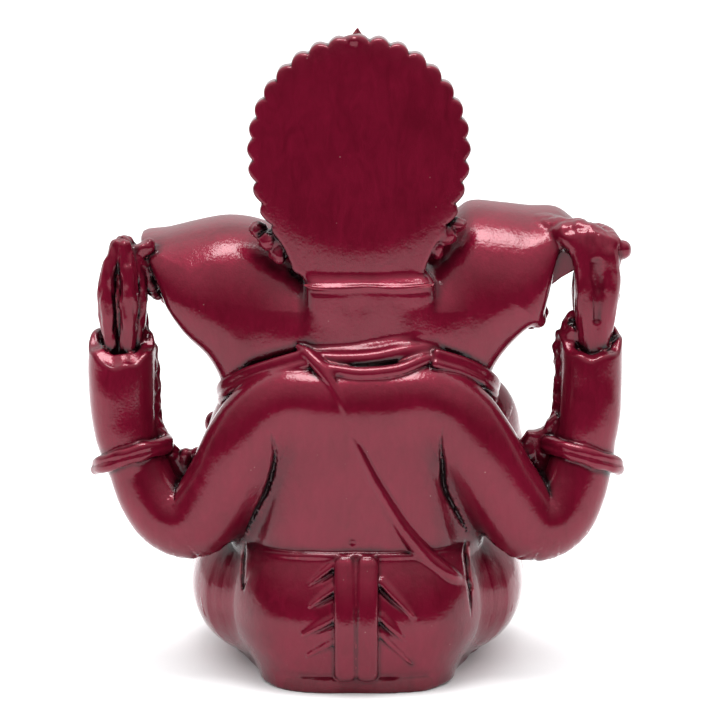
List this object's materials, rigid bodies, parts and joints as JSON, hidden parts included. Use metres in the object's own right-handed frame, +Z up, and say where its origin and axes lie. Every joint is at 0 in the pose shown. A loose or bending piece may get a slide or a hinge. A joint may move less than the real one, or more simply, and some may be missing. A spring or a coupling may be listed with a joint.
{
  "type": "ganesha idol",
  "caption": "Seated Ganesha figure with raised rear arms, wide ears, a tiered crown before a scalloped plate, ringed limbs and a draped dhoti on a thin slab, all in glossy crimson lacquer.",
  "frame": {"origin": "middle of the figure's plan at the underside of its base slab", "axes": "+Z up; the figure faces -Y; its own left hand is at +X"},
  "size_m": [0.1, 0.0674, 0.119],
  "materials": {
    "lacquer": "crimson lacquer over cast resin, high gloss, darkened in the hollows",
    "ornament_lacquer": "the same crimson lacquer over finer relief, with more dark stain left in it",
    "base_lacquer": "the same crimson lacquer, darker and rubbed at the rim"
  },
  "bodies": {
    "root": {"base_slab": "base_lacquer", "seat": "lacquer", "dhoti_tail": "lacquer", "waist_band": "ornament_lacquer", "front_pleats": "lacquer", "torso": "lacquer", "belly": "lacquer", "neck": "lacquer", "neck_scarf": "lacquer", "back_thread": "lacquer", "front_thread": "lacquer", "necklace": "ornament_lacquer", "head": "lacquer", "trunk": "lacquer", "left_tusk": "ornament_lacquer", "right_tusk": "ornament_lacquer", "left_ear": "lacquer", "right_ear": "lacquer", "left_earring": "ornament_lacquer", "right_earring": "ornament_lacquer", "crown_plate": "lacquer", "crown_band": "ornament_lacquer", "crown_dome": "ornament_lacquer", "crown_finial": "ornament_lacquer", "rear_left_upper_arm": "lacquer", "rear_right_upper_arm": "lacquer", "rear_left_forearm": "lacquer", "rear_right_forearm": "lacquer", "rear_left_hand": "lacquer", "rear_right_hand": "lacquer", "rear_left_armlet": "ornament_lacquer", "rear_right_armlet": "ornament_lacquer", "noose": "ornament_lacquer", "axe": "ornament_lacquer", "front_left_upper_arm": "lacquer", "front_right_upper_arm": "lacquer", "front_left_forearm": "lacquer", "front_right_forearm": "lacquer", "front_left_hand": "lacquer", "front_right_hand": "lacquer", "front_left_armlet": "ornament_lacquer", "front_right_armlet": "ornament_lacquer", "front_left_bangle": "ornament_lacquer", "front_right_bangle": "ornament_lacquer", "modak": "ornament_lacquer", "left_thigh": "lacquer", "right_thigh": "lacquer", "left_shin": "lacquer", "right_shin": "lacquer", "left_foot": "lacquer", "right_foot": "lacquer", "left_anklet": "ornament_lacquer", "right_anklet": "ornament_lacquer"}
  },
  "joints": []
}
